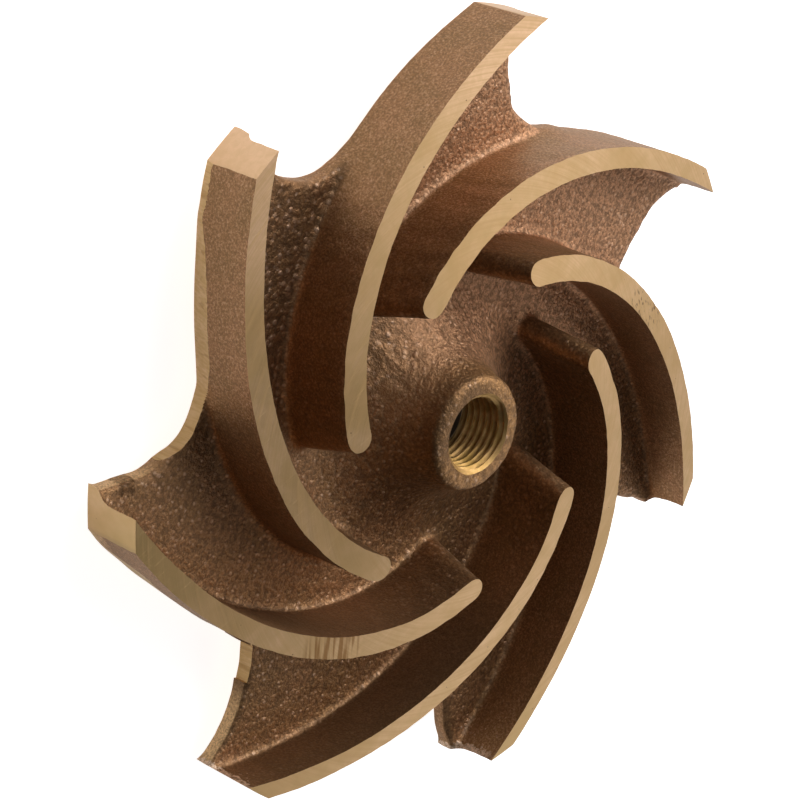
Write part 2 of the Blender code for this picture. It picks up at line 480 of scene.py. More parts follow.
def tint(tree, under, colour, mask, share):
    """Lay a share of a colour over another, where the mask is."""
    return mix_colours(tree, share_of(tree, mask, share), under, colour)


def mix_values(tree, share, first, second):
    inputs = {0: share, 2: first, 3: second}
    return add_node(tree, "Mix", inputs, data_type="FLOAT").outputs[0]


print("node helpers are ready")

# %% [markdown]
# ## Masks and textures
#
# A mask is a number from zero to one all over the surface. It comes from where a point lies, such
# as near one spot, or from a texture. A soft step between two limits makes it, since a mask with
# a hard edge looks like a sticker.

# %% Masks and textures
def step_between(tree, value, low, high):
    """Zero at low, one at high, and a soft step between them."""
    limits = {"Value": value, "From Min": low, "From Max": high}
    return add_node(tree, "MapRange", limits, interpolation_type="SMOOTHSTEP").outputs[0]


def near_spot(tree, place, spot):
    """One near a spot and zero past its reach. A spot is x, y, z and the reach in mm."""
    *middle, reach = [number * MM for number in spot]
    return step_between(tree, vector_maths(tree, "DISTANCE", place, middle), reach, reach * 0.5)


def distance_from_axis(tree, place):
    return vector_maths(tree, "LENGTH", vector_maths(tree, "MULTIPLY", place, (1.0, 1.0, 0.0)))


def upward_part(tree, vector):
    return add_node(tree, "SeparateXYZ", {0: vector}).outputs["Z"]


def per_metre(tree, size_in_mm):
    """How many of these sizes go into one metre, which is what a texture calls its scale."""
    return maths(tree, "DIVIDE", 1 / MM, size_in_mm)


def clouds_of(tree, place, scale, detail, roughness=0.5, distortion=0.0):
    inputs = {"Vector": place, "Scale": scale, "Detail": detail, "Roughness": roughness,
              "Distortion": distortion}
    return add_node(tree, "TexNoise", inputs).outputs["Fac"]


def cells_of(tree, place, scale):
    """Random cells. What comes out is the distance from their middles, and a chance for each."""
    cells = add_node(tree, "TexVoronoi", {"Vector": place, "Scale": scale}).outputs
    chance = add_node(tree, "SeparateColor", {"Color": cells["Color"]}).outputs[0]
    return cells["Distance"], chance


def bump(tree, height, distance, strength=1.0):
    inputs = {"Strength": strength, "Distance": distance, "Height": height}
    return add_node(tree, "Bump", inputs).outputs["Normal"]


print("mask helpers are ready")

# %% [markdown]
# ## Groups and materials
#
# An effect that several finishes share is built once, as a node group with named inputs, and each
# material sets its own values on it. Copies would have to be changed one by one.

# %% Groups and materials
def new_group(name, inputs, outputs):
    """An empty node group with named sockets. An input is given as its name, kind and value."""
    tree = bpy.data.node_groups.new(name, "ShaderNodeTree")
    for label, kind, value in inputs:
        socket = tree.interface.new_socket(label, in_out="INPUT", socket_type="NodeSocket" + kind)
        if value is not None:
            socket.default_value = value
    for label, kind in outputs:
        tree.interface.new_socket(label, in_out="OUTPUT", socket_type="NodeSocket" + kind)
    group_in = tree.nodes.new("NodeGroupInput").outputs
    group_out = tree.nodes.new("NodeGroupOutput").inputs
    return tree, group_in, group_out


def spaced(values):
    """An underscore in a name stands for the space in the name of a socket."""
    return {label.replace("_", " "): value for label, value in values.items()}


def use_group(tree, group, place, **values):
    return add_node(tree, "Group", {"Place": place} | spaced(values), node_tree=group).outputs


def new_material(name, **constants):
    """A material with its shader's plain values set, and the place that its textures use."""
    material = bpy.data.materials.new(name)
    material.use_nodes = True
    tree = material.node_tree
    shader = tree.nodes["Principled BSDF"].inputs
    feed(tree, shader, spaced(constants))
    place = add_node(tree, "TexCoord", {}).outputs["Object"]
    return material, tree, shader, place


print("group and material helpers are ready")

# %% [markdown]
# ## Grain of the sand
#
# Moulding sand prints its grains into the metal as small round bumps. When all cells of a Voronoi
# texture stand out they look like paving, so each gets its own height by chance, and only the
# highest few are picked out for a painted glint. A noise lies under them.

# %% Sand grain group
GRAIN_EDGE, GRAIN_TOP = 0.6, 0.1
LOWEST_GRAIN, HIGHEST_GRAIN = 0.2, 0.9
GRAIN_SHARE = 0.45
GROUND_SCALE = 0.9
PIT_EDGE, PIT_FLOOR = 0.62, 0.42
FEW_ARE_GLINTING = 0.65

sand_grain, group_in, group_out = new_group(
    "sand_grain",
    [("Place", "Vector", None), ("Grain in mm", "Float", 0.5)],
    [("Height", "Float"), ("Pit", "Float"), ("Crest", "Float")])
scale = per_metre(sand_grain, group_in["Grain in mm"])
ground = clouds_of(sand_grain, group_in["Place"],
                   times(sand_grain, scale, GROUND_SCALE), 3.0, roughness=0.7)
from_middle, chance = cells_of(sand_grain, group_in["Place"], scale)
dome = step_between(sand_grain, from_middle, GRAIN_EDGE, GRAIN_TOP)
grain = times(sand_grain, dome, from_to(sand_grain, chance, LOWEST_GRAIN, HIGHEST_GRAIN))
height = share_of(sand_grain, grain, GRAIN_SHARE, ground)
# the highest grains are marked for a painted glint
brightened = times(sand_grain, dome, step_between(sand_grain, chance, FEW_ARE_GLINTING, 1.0))
pit = step_between(sand_grain, height, PIT_EDGE, PIT_FLOOR)
feed(sand_grain, group_out, {"Height": height, "Pit": pit, "Crest": brightened})
print("sand grain:", len(sand_grain.nodes), "nodes")

# %% [markdown]
# ## Tarnish
#
# Bronze never keeps one colour. The skin that met the mould has redder and darker clouds, and
# even cut faces yellow in patches. One cloud mask with a size serves for all of it.

# %% Tarnish group
MIDDLE_OF_CLOUDS = 0.5

tarnish, group_in, group_out = new_group(
    "tarnish",
    [("Place", "Vector", None), ("Patch in mm", "Float", 10.0), ("Softness", "Float", 0.2)],
    [("Amount", "Float")])
clouds = clouds_of(tarnish, group_in["Place"], per_metre(tarnish, group_in["Patch in mm"]), 4.0,
                   roughness=0.6, distortion=0.6)
low_edge = maths(tarnish, "SUBTRACT", MIDDLE_OF_CLOUDS, group_in["Softness"])
high_edge = maths(tarnish, "ADD", MIDDLE_OF_CLOUDS, group_in["Softness"])
feed(tarnish, group_out, {"Amount": step_between(tarnish, clouds, low_edge, high_edge)})
print("tarnish:", len(tarnish.nodes), "nodes")

# %% [markdown]
# ## Marks of the lathe
#
# The tip of the tool leaves rings round the axis. They depend on the distance from the axis, so
# that distance is fed to a noise as its fourth coordinate, far faster than the other three. The
# rings then stay true circles but fade in and out on their way round, as real ones do.

# %% Lathe marks group
SLOW_WAVES = (55.0, 55.0, 55.0)
STREAK_EDGE, STREAK_FULL = 0.35, 0.7

lathe_marks, group_in, group_out = new_group(
    "lathe_marks",
    [("Place", "Vector", None), ("Feed in mm", "Float", 0.25)],
    [("Height", "Float"), ("Streak", "Float")])
from_axis = distance_from_axis(lathe_marks, group_in["Place"])
turns = maths(lathe_marks, "DIVIDE", times(lathe_marks, from_axis, 1 / MM), group_in["Feed in mm"])
slow = vector_maths(lathe_marks, "MULTIPLY", group_in["Place"], SLOW_WAVES)
rings = add_node(lathe_marks, "TexNoise",
                 {"Vector": slow, "W": turns, "Scale": 1.0, "Detail": 2.0, "Roughness": 0.7},
                 noise_dimensions="4D").outputs["Fac"]
streak = step_between(lathe_marks, rings, STREAK_EDGE, STREAK_FULL)
feed(lathe_marks, group_out, {"Height": rings, "Streak": streak})
print("lathe marks:", len(lathe_marks.nodes), "nodes")

# %% [markdown]
# ## Strokes on cut metal
#
# Handling, a file or a grinding wheel scratches a cut face in long thin lines, too thin to model.
# They are a noise that is stretched a lot in one direction. Two limits say how much of it shows.

# %% Strokes group
strokes, group_in, group_out = new_group(
    "strokes",
    [("Place", "Vector", None), ("Turn", "Float", 0.0), ("Waves per metre", "Vector", None),
     ("From", "Float", 0.55), ("To", "Float", 0.75)],
    [("Amount", "Float")])
laid = add_node(strokes, "VectorRotate", {"Vector": group_in["Place"], "Angle": group_in["Turn"]},
                rotation_type="Z_AXIS").outputs[0]
lines = clouds_of(strokes, vector_maths(strokes, "MULTIPLY", laid, group_in["Waves per metre"]),
                  1.0, 1.0)
shown = step_between(strokes, lines, group_in["From"], group_in["To"])
feed(strokes, group_out, {"Amount": shown})
print("strokes:", len(strokes.nodes), "nodes")

# %% [markdown]
# ## Pinholes
#
# Gas in the melt leaves pinholes, which a cut lays open. They are the middles of Voronoi cells,
# and most cells are left without one, because holes in every cell would look like a sieve.

# %% Pinholes group
HOLE_EDGE, HOLE_FLOOR = 0.14, 0.03

pinholes, group_in, group_out = new_group(
    "pinholes",
    [("Place", "Vector", None), ("One every mm", "Float", 1.6), ("Share", "Float", 0.2)],
    [("Amount", "Float")])
from_middle, chance = cells_of(pinholes, group_in["Place"],
                               per_metre(pinholes, group_in["One every mm"]))
near = step_between(pinholes, from_middle, HOLE_EDGE, HOLE_FLOOR)
few = maths(pinholes, "LESS_THAN", chance, group_in["Share"])
feed(pinholes, group_out, {"Amount": times(pinholes, near, few)})
print("pinholes:", len(pinholes.nodes), "nodes")

# %% [markdown]
# ## Cast skin: where it is rough
#
# The floor between the vanes and the hub lay against coarse sand, and the fillets against the
# loosest. The walls are finer, and the nose round the bore was dressed smooth. As separate
# materials they would meet in sharp lines, so one mask says how rough the skin is. It comes from
# the upward part of the normal, the distance from the axis and the corners.

# %% Cast skin, where it is rough
WALL_TO_FLOOR = (0.35, 0.8)
WALL_TO_FILLET = (0.1, 0.5)
SIDE_TO_TOP = (0.3, 0.6)
HUB_FLARE = 11.0 * MM
ROUGH_HUB = 0.7
ROUGH_NOSE = 0.8

cast_skin, tree, shader, place = new_material("cast_skin", Metallic=0.82)
upward = upward_part(tree, add_node(tree, "NewGeometry", {}).outputs["Normal"])
from_axis = distance_from_axis(tree, place)
on_hub = step_between(tree, from_axis, HUB_RADIUS + HUB_FLARE, HUB_RADIUS)
on_nose = step_between(tree, from_axis, NOSE_EDGE, NOSE_EDGE - NOSE_FADE)
in_corner = times(tree, step_between(tree, upward, *WALL_TO_FILLET),
                  add_node(tree, "Attribute", {}, attribute_name="corner").outputs["Fac"])
rough = larger(tree, step_between(tree, upward, *WALL_TO_FLOOR), share_of(tree, on_hub, ROUGH_HUB))
rough = larger(tree, rough, in_corner)
rough = times(tree, rough, from_to(tree, on_nose, 1.0, ROUGH_NOSE))
facing_up = step_between(tree, upward, *SIDE_TO_TOP)
sideways = maths(tree, "SUBTRACT", 1.0, facing_up)
print("rough places:", len(tree.nodes), "nodes")

# %% [markdown]
# ## Cast skin: brown tarnish, painted light and painted shade
#
# Copper tarnish lies over the skin in brown clouds. Light and shade are painted over it as well:
# the floors are painted lighter and pinker on the side nearer the main light and darker on the far
# side, and painted shade darkens some walls and a side of the nose. A noise would put such places
# anywhere, so each of them is a soft spot at its own place on the wheel.

# %% Cast skin, colours
SKIN_DARK = (0.125, 0.070, 0.036, 1.0)
SKIN_BROWN = (0.400, 0.218, 0.092, 1.0)
SKIN_COPPER = (0.480, 0.250, 0.115, 1.0)
SKIN_PAINTED_LIGHT = (0.800, 0.425, 0.235, 1.0)
NOSE_SKIN = (0.510, 0.270, 0.105, 1.0)
# the next four spots paint light and shade: lighter, pinker floors near the main light, darker
# floors and walls away from it, and a shaded side of the nose
PAINTED_LIGHT_SPOT, PAINTED_LIGHT_SHARE = (-40.0, 0.0, 8.0, 46.0), 0.7
PAINTED_SHADE_FLOOR_SPOT, PAINTED_SHADE_FLOOR_SHARE = (-6.0, -42.0, 6.0, 50.0), 0.32
PAINTED_SHADE_WALL_SPOT, PAINTED_SHADE_WALL_SHARE = (42.0, 10.0, 12.0, 36.0), 0.55
PAINTED_NOSE_SHADE_SPOT, PAINTED_NOSE_SHADE_SHARE = (0.0, -9.0, 19.0, 11.0), 0.5

clouds = use_group(tree, tarnish, place, Patch_in_mm=9.0)["Amount"]
skin = mix_colours(tree, clouds, SKIN_BROWN, SKIN_COPPER)
# painted light: the floors are made lighter and pinker on the side nearer the main light
painted_light = times(tree, near_spot(tree, place, PAINTED_LIGHT_SPOT), facing_up)
skin = tint(tree, skin, SKIN_PAINTED_LIGHT, painted_light, PAINTED_LIGHT_SHARE)
# painted shade: the floors are darkened on the side away from the main light
painted_floor_shade = times(tree, facing_up, near_spot(tree, place, PAINTED_SHADE_FLOOR_SPOT))
# painted shade: walls round one spot are darkened
painted_wall_shade = times(tree, sideways, near_spot(tree, place, PAINTED_SHADE_WALL_SPOT))
shade = larger(tree, share_of(tree, painted_floor_shade, PAINTED_SHADE_FLOOR_SHARE),
               share_of(tree, painted_wall_shade, PAINTED_SHADE_WALL_SHARE))
# the painted shade of floors and walls is mixed in as dark skin
skin = mix_colours(tree, shade, skin, SKIN_DARK)
skin = mix_colours(tree, on_nose, skin, NOSE_SKIN)
# painted shade on one side of the nose
painted_nose_shade = times(tree, on_nose, near_spot(tree, place, PAINTED_NOSE_SHADE_SPOT))
skin = tint(tree, skin, SKIN_DARK, painted_nose_shade, PAINTED_NOSE_SHADE_SHARE)
print("skin colours:", len(tree.nodes), "nodes")

# %% [markdown]
# ## Cast skin: worn through, and painted glints
#
# Handling wears the skin off where the part sticks out: low on the sides of two tips, and in chips
# along the rim. The chips are bare metal with a painted glint on top, and they follow the height
# of the grain, so that their outline is ragged. Pale lines run along the feet of the vanes too: a
# painted highlight, the glint that the fillets catch, laid on as a bright colour.

# %% Cast skin, wear and painted glints
SKIN_WORN = (0.900, 0.580, 0.290, 1.0)
# the second colour is a painted glint, for the fillets and the chips
PAINTED_GLINT = (0.950, 0.700, 0.510, 1.0)
WEAR_SHARE = 0.9
WORN_TIPS = [(35.3, -50.6, 5.0, 11.0), (60.1, -5.0, 5.0, 11.0)]
WORN_TIP_HEIGHTS = (7.4 * MM, 6.6 * MM)
CHIPS = [(63.3, -1.5, 8.0, 10.0), (40.0, 49.5, 6.0, 10.0)]
RIM_BAND = (61.8 * MM, 63.4 * MM)
CHIP_DEPTH = 0.5
CHIP_EDGE = (0.85, 1.0)

coarse = use_group(tree, sand_grain, place, Grain_in_mm=0.75)
low_down = step_between(tree, upward_part(tree, place), *WORN_TIP_HEIGHTS)
for spot in WORN_TIPS:
    brightened = times(tree, near_spot(tree, place, spot), sideways)
    brightened = times(tree, brightened, low_down)
    skin = tint(tree, skin, SKIN_WORN, brightened, WEAR_SHARE)
at_rim = share_of(tree, step_between(tree, from_axis, *RIM_BAND), CHIP_DEPTH, coarse["Height"])
at_rim = step_between(tree, at_rim, *CHIP_EDGE)
# the chips are bare metal given a painted glint, bright even on sides in shade
for spot in CHIPS:
    chipped = times(tree, near_spot(tree, place, spot), at_rim)
    skin = tint(tree, skin, PAINTED_GLINT, chipped, WEAR_SHARE)
# painted highlight: the fillets along the feet of the vanes are made bright
skin = tint(tree, skin, PAINTED_GLINT, in_corner, WEAR_SHARE)
print("wear:", len(tree.nodes), "nodes")

# %% [markdown]
# ## Cast skin: specks
#
# Specks far smaller than a grain pepper the skin, dark ones of dirt and light ones of metal. They
# are the two ends of one fine noise, so hardly one is both. Walls under painted shade have few
# light ones.

# %% Cast skin, specks
SKIN_GLINT = (0.850, 0.580, 0.410, 1.0)
SPECKLE_SCALE = 2800.0
DARK_SPECK_LIMITS = (0.62, 0.36)
LIGHT_SPECK_LIMITS = (0.52, 0.70)
# shares on the walls and on the floors, then outside the painted wall shade and in it
DARK_SPECKS = (0.50, 0.38)
LIGHT_SPECKS = (0.26, 0.12)
LIGHT_SPECKS_IN_PAINTED_SHADE = (1.0, 0.2)

speckle = clouds_of(tree, place, SPECKLE_SCALE, 2.0, roughness=0.7)
dark_specks = times(tree, step_between(tree, speckle, *DARK_SPECK_LIMITS),
                    from_to(tree, rough, *DARK_SPECKS))
skin = mix_colours(tree, dark_specks, skin, SKIN_DARK)
light_specks = times(tree, step_between(tree, speckle, *LIGHT_SPECK_LIMITS),
                     from_to(tree, rough, *LIGHT_SPECKS))
light_specks = times(tree, light_specks, from_to(tree, painted_wall_shade, *LIGHT_SPECKS_IN_PAINTED_SHADE))
skin = mix_colours(tree, light_specks, skin, SKIN_GLINT)
print("specks:", len(tree.nodes), "nodes")

# %% [markdown]
# ## Cast skin: pits and crests
#
# Dirt darkens the pits between the grains, and the highest grains get a painted glint: a highlight
# laid on as a bright colour, with a smoother finish. In one channel the sand was looser, and there
# larger grains take over. All of it is weaker on the walls. The same grains and specks give the
# colour and the bump, so that the two agree.

# %% Cast skin, pits and crests
LOOSE_SAND, LOOSE_SAND_HEIGHT = (-6.0, -34.0, 8.0, 30.0), 1.5
# shares on the walls and on the floors
PITS = (0.14, 0.58)
CRESTS = (0.09, 0.65)
BUMPS = (0.2, 1.0)
# from brown tarnish to copper, and from plain skin to a painted glint on a crest
CRESTS_IN_CLOUDS = (1.0, 0.4)
SKIN_ROUGHNESS = (0.50, 0.32)
SPECKLE_BUMPS = 0.42
SKIN_BUMP = 0.21 * MM

lumpy = use_group(tree, sand_grain, place, Grain_in_mm=1.05)
loose = near_spot(tree, place, LOOSE_SAND)
pit = mix_values(tree, loose, coarse["Pit"], lumpy["Pit"])
pit = times(tree, pit, from_to(tree, rough, *PITS))
skin = mix_colours(tree, pit, skin, SKIN_DARK)
# where the painted glints show
glint_shown = maths(tree, "SUBTRACT", from_to(tree, clouds, *CRESTS_IN_CLOUDS), loose)
glint_shown = larger(tree, glint_shown, larger(tree, in_corner, loose))
crest = larger(tree, coarse["Crest"], times(tree, lumpy["Crest"], loose))
crest = times(tree, crest, from_to(tree, rough, *CRESTS))
crest = times(tree, crest, glint_shown)
height = mix_values(tree, loose, coarse["Height"],
                    share_of(tree, lumpy["Height"], LOOSE_SAND_HEIGHT))
height = times(tree, height, from_to(tree, rough, *BUMPS))
height = share_of(tree, speckle, SPECKLE_BUMPS, height)
# the crests take the glint colour: a painted highlight
feed(tree, shader, {"Base Color": mix_colours(tree, crest, skin, SKIN_GLINT),
                    "Roughness": from_to(tree, crest, *SKIN_ROUGHNESS),
                    "Normal": bump(tree, height, SKIN_BUMP)})
print("cast skin:", len(tree.nodes), "nodes")

# %% [markdown]
# ## Turned bronze: its marks
#
# Where the lathe has cut there are fine rings, scratches, pinholes, and clouds where hands and
# water have been. Water has also run across one vane, and one vane has torn pits. Both are
# strokes kept to one spot. Every mark is a mask first, so that colour and bump can share it.

# %% Turned bronze, marks
STAIN_SPOT = (39.5, -4.5, 17.8, 7.0)
TORN_SPOT, TORN_DEPTH = (-32.6, 24.0, 18.0, 6.5), 0.65

turned_bronze, tree, shader, place = new_material("turned_bronze", Metallic=0.97)
rings = use_group(tree, lathe_marks, place, Feed_in_mm=0.32)
clouds = use_group(tree, tarnish, place, Patch_in_mm=14.0, Softness=0.25)["Amount"]
blots = use_group(tree, tarnish, place, Patch_in_mm=4.0, Softness=0.16)["Amount"]
flecks = use_group(tree, tarnish, place, Patch_in_mm=1.1, Softness=0.25)["Amount"]
scratch = use_group(tree, strokes, place, Turn=math.radians(20), From=0.63,
                    Waves_per_metre=(180.0, 5200.0, 400.0))["Amount"]
runs = use_group(tree, strokes, place, Turn=math.radians(-41), From=0.40, To=0.62,
                 Waves_per_metre=(120.0, 1500.0, 120.0))["Amount"]
stain = times(tree, runs, near_spot(tree, place, STAIN_SPOT))
torn = use_group(tree, strokes, place, Turn=math.radians(-50), From=0.60, To=0.68,
                 Waves_per_metre=(900.0, 2600.0, 900.0))["Amount"]
torn = times(tree, torn, near_spot(tree, place, TORN_SPOT))
hole = use_group(tree, pinholes, place, One_every_mm=1.1, Share=0.07)["Amount"]
hole = larger(tree, hole, share_of(tree, torn, TORN_DEPTH))
print("marks of the turned faces:", len(tree.nodes), "nodes")

# %% [markdown]
# ## Turned bronze: its colours
#
# Fresh bronze is bright tan, and it yellows in clouds, in flecks and along the rings. Two tips are
# tinted olive and two pink. Each colour is laid over the one before by its mask, as a painter
# glazes.

# %% Turned bronze, colours
CUT_BRIGHT = (0.790, 0.520, 0.300, 1.0)
CUT_YELLOW = (0.610, 0.385, 0.175, 1.0)
CUT_OLIVE = (0.470, 0.320, 0.120, 1.0)
CUT_PINK = (0.920, 0.600, 0.380, 1.0)
CUT_STAIN = (0.300, 0.140, 0.040, 1.0)
CUT_HOLE = (0.120, 0.060, 0.030, 1.0)
COLOURED_TIPS = [
    # spot on the tip, its colour and the share of it
    ((41.0, -42.0, 15.0, 13.0), CUT_OLIVE, 0.6),
    ((38.0, 51.0, 14.6, 13.0), CUT_OLIVE, 0.6),
    ((-55.0, -30.0, 15.0, 24.0), CUT_PINK, 0.7),
    ((-14.0, -62.0, 11.0, 24.0), CUT_PINK, 0.7),
]
BLOT_SHARE = 0.30
FLECK_SHARE = 0.35
STREAK_SHARE = 0.55
STAIN_SHARE = 0.8
RING_HEIGHT = 0.7
SCRATCH_DEPTH = 0.4
CUT_BUMP = 0.03 * MM
CUT_ROUGHNESS = (0.34, 0.46)

metal = mix_colours(tree, clouds, CUT_BRIGHT, CUT_YELLOW)
metal = tint(tree, metal, CUT_OLIVE, blots, BLOT_SHARE)
for spot, colour, share in COLOURED_TIPS:
    metal = tint(tree, metal, colour, near_spot(tree, place, spot), share)
metal = tint(tree, metal, CUT_YELLOW, flecks, FLECK_SHARE)
metal = tint(tree, metal, CUT_YELLOW, rings["Streak"], STREAK_SHARE)
metal = tint(tree, metal, CUT_STAIN, stain, STAIN_SHARE)
height = maths(tree, "SUBTRACT", share_of(tree, rings["Height"], RING_HEIGHT),
               share_of(tree, scratch, SCRATCH_DEPTH, hole))
feed(tree, shader, {"Base Color": mix_colours(tree, hole, metal, CUT_HOLE),
                    "Roughness": from_to(tree, rings["Streak"], *CUT_ROUGHNESS),
                    "Normal": bump(tree, height, CUT_BUMP, strength=0.8)})
print("turned bronze:", len(tree.nodes), "nodes")

# %% [markdown]
# ## Ground bronze
#
# A grinding wheel leaves the metal as bright as the lathe does, but with strokes across the edge
# in place of rings, and with burnt yellow patches. The strokes share their group with the
# scratches, only their direction and their fineness differ.

# %% Ground bronze material
GROUND_BRIGHT = (0.740, 0.500, 0.270, 1.0)
GROUND_BURNT = (0.560, 0.350, 0.130, 1.0)
BURNT_SHARE = 0.7
FINE_STROKE_SHARE = 0.45
DEEP_STROKE_SHARE = 0.3
GROUND_ROUGHNESS = (0.36, 0.48)

ground_bronze, tree, shader, place = new_material("ground_bronze", Metallic=0.95)
clouds = use_group(tree, tarnish, place, Patch_in_mm=5.0)["Amount"]
fine = use_group(tree, strokes, place, Waves_per_metre=(2400.0, 2400.0, 260.0),
                 From=0.35, To=0.65)["Amount"]
deep = use_group(tree, strokes, place, Waves_per_metre=(1300.0, 1300.0, 120.0),
                 From=0.60, To=0.70)["Amount"]
metal = tint(tree, GROUND_BRIGHT, GROUND_BURNT, clouds, BURNT_SHARE)
metal = tint(tree, metal, GROUND_BURNT, fine, FINE_STROKE_SHARE)
metal = tint(tree, metal, CUT_STAIN, deep, DEEP_STROKE_SHARE)
height = maths(tree, "ADD", fine, deep)
feed(tree, shader, {"Base Color": metal, "Roughness": from_to(tree, fine, *GROUND_ROUGHNESS),
                    "Normal": bump(tree, height, CUT_BUMP, strength=0.7)})
print("ground bronze:", len(tree.nodes), "nodes")

# %% [markdown]
# ## Threads
#
# The tap leaves smooth flanks that old cutting oil has darkened to olive gold. Deep in the bore
# they are painted black, a painted shade where little light gets in. The height of a point tells
# how deep it lies.

# %% Thread material
THREAD_OLIVE = (0.700, 0.440, 0.180, 1.0)
THREAD_DARK = (0.440, 0.270, 0.080, 1.0)
# a painted shade colour for the deep part of the bore
THREAD_DEEP_SHADE = (0.030, 0.018, 0.010, 1.0)
DEEP_SHADE_HEIGHTS = (12.0 * MM, 9.5 * MM)
THREAD_BUMP = 0.02 * MM
THREAD_ROUGHNESS = (0.46, 0.56)

thread_bronze, tree, shader, place = new_material("thread_bronze", Metallic=0.95)
clouds = use_group(tree, tarnish, place, Patch_in_mm=2.5)["Amount"]
grain = use_group(tree, sand_grain, place, Grain_in_mm=0.2)["Height"]
# painted shade: darker the deeper a point lies in the bore
deep_shade = step_between(tree, upward_part(tree, place), *DEEP_SHADE_HEIGHTS)
metal = mix_colours(tree, clouds, THREAD_OLIVE, THREAD_DARK)
feed(tree, shader, {"Base Color": mix_colours(tree, deep_shade, metal, THREAD_DEEP_SHADE),
                    "Roughness": from_to(tree, clouds, *THREAD_ROUGHNESS),
                    "Normal": bump(tree, grain, THREAD_BUMP, strength=0.4)})
print("thread:", len(tree.nodes), "nodes")

# %% [markdown]
# ## Tools for cutting
#
# Every machine cut is a Boolean with a closed mesh, and the cut faces take the material of that
# mesh, so they never have to be looked up. Two helpers make such meshes: one spins a profile
# round the axis with the Screw modifier, and one joins rings of points into a closed tube.

# %% Cutting helpers
LATHE_STEPS = 224


def cut(thing, tool, operation):
    """Cut one closed mesh with another, which is used up."""
    step = thing.modifiers.new("cut", "BOOLEAN")
    step.operation = operation
    step.solver = "MANIFOLD"
    step.material_mode = "TRANSFER"
    step.object = tool
    bake_modifiers(thing)
    bpy.data.objects.remove(tool, do_unlink=True)


def spin(name, profile, material):
    """A turned solid from a profile that starts and ends on the axis."""
    mesh = bpy.data.meshes.new(name)
    edges = [(index, index + 1) for index in range(len(profile) - 1)]
    mesh.from_pydata([(radius, 0.0, height) for radius, height in profile], edges, [])
    thing = add_object(name, mesh)
    screw = thing.modifiers.new("spin", "SCREW")
    screw.steps = LATHE_STEPS
    screw.render_steps = LATHE_STEPS
    screw.use_merge_vertices = True
    screw.merge_threshold = SAME_PLACE
    bake_modifiers(thing)
    thing.data.materials.append(material)
    return thing


def closed_tube(name, rings, material):
    """A tube through rings of places, with a flat cap at each end."""
    shape = bmesh.new()
    rings = [[shape.verts.new(place) for place in ring] for ring in rings]
    for low, high in zip(rings, rings[1:]):
        for step in range(len(low)):
            after = (step + 1) % len(low)
            shape.faces.new((low[step], low[after], high[after], high[step]))
    shape.faces.new(rings[0][::-1])
    shape.faces.new(rings[-1])
    bmesh.ops.recalc_face_normals(shape, faces=shape.faces)
    mesh = bpy.data.meshes.new(name)
    shape.to_mesh(mesh)
    shape.free()
    mesh.materials.append(material)
    return add_object(name, mesh)


casting.data.materials.clear()
casting.data.materials.append(cast_skin)
print("the casting wears", casting.data.materials[0].name)

# %% [markdown]
# ## Turning on the lathe
#
# All outer cuts share one axis, so one turned solid holds what the lathe leaves: the cone over
# the vanes, the rim, the flat back and the boss. Extra rings on the cone keep its triangles even.

# %% What the lathe leaves
CONE_RINGS = 26

cone = [(RIM_RADIUS * ring / CONE_RINGS, face_height(RIM_RADIUS * ring / CONE_RINGS))
        for ring in range(CONE_RINGS + 1)]
turned_shape = cone + [
    (RIM_RADIUS, BACK_Z),
    (BOSS_RADIUS, BACK_Z),
    (BOSS_RADIUS, BOSS_EDGE),
    (BOSS_RADIUS - BOSS_EDGE, 0.0),
    (0.0, 0.0),
]
cut(casting, spin("turned_shape", turned_shape, turned_bronze), "INTERSECT")
print("after the lathe:", count_triangles(casting.data), "triangles")

# %% [markdown]
# ## Bore and thread
#
# The bore is drilled, its mouth is countersunk, and a tap cuts the thread. The tap is a tube of
# points whose radius depends on the height and on the angle round the axis: one turn round is
# one pitch up. Where the mouth or the pilot is wider than the thread, the wider one counts, so a
# single cut makes the whole bore. A texture of rings would look right only from straight above.

# %% Bore and thread
THREAD_MINOR_RADIUS = 5.66 * MM
THREAD_DEPTH = 0.69 * MM
THREAD_PITCH = 1.27 * MM
CREST_FLAT = 0.25
FLANK = math.sqrt(3.0)
ROWS_PER_PITCH = 10
AROUND = 96


def thread_radius(height, turn):
    """Radius of the thread's wall: a 60 degree thread with flats at crest and root."""
    along = (height / THREAD_PITCH - turn) % 1.0
    from_root = abs(along - 0.5) * THREAD_PITCH
    rise = ((1.0 - CREST_FLAT) / 2 * THREAD_PITCH - from_root) * FLANK
    return THREAD_MINOR_RADIUS + min(max(rise, 0.0), THREAD_DEPTH)


def bore_rows():
    """Heights of the tap's rows, with the smallest radius that each one cuts."""
    rows = [(-ALLOWANCE, PILOT_RADIUS + PILOT_EDGE + ALLOWANCE), (PILOT_EDGE, PILOT_RADIUS),
            (PILOT_DEPTH, PILOT_RADIUS)]
    count = int((NOSE_Z - PILOT_DEPTH) / THREAD_PITCH * ROWS_PER_PITCH)
    for row in range(count + 1):
        height = PILOT_DEPTH + (NOSE_Z - PILOT_DEPTH) * row / count
        rows.append((height, MOUTH_RADIUS - (NOSE_Z - height)))
    rows.append((NOSE_Z + ALLOWANCE, MOUTH_RADIUS + ALLOWANCE))
    return rows


def tap_ring(height, least):
    """The points of one row, each as far out as the thread or the plain bore goes."""
    ring = []
    for step in range(AROUND):
        turn = step / AROUND
        wall = max(least, thread_radius(height, turn))
        ring.append((wall * math.cos(2 * math.pi * turn), wall * math.sin(2 * math.pi * turn),
                     height))
    return ring


tap_rings = [tap_ring(height, least) for height, least in bore_rows()]
cut(casting, closed_tube("tap", tap_rings, thread_bronze), "DIFFERENCE")
print("after the tap:", count_triangles(casting.data), "triangles")

# %% [markdown]
# ## Ground edges
#
# Where the edge of the disc came out too thick, it was held against a grinding wheel. That could
# be a painted stripe, but it also changes the outline, so it is a cut. Each row gives places
# along the back edge of the disc, and how far the wheel leant there and climbed the vane's foot.

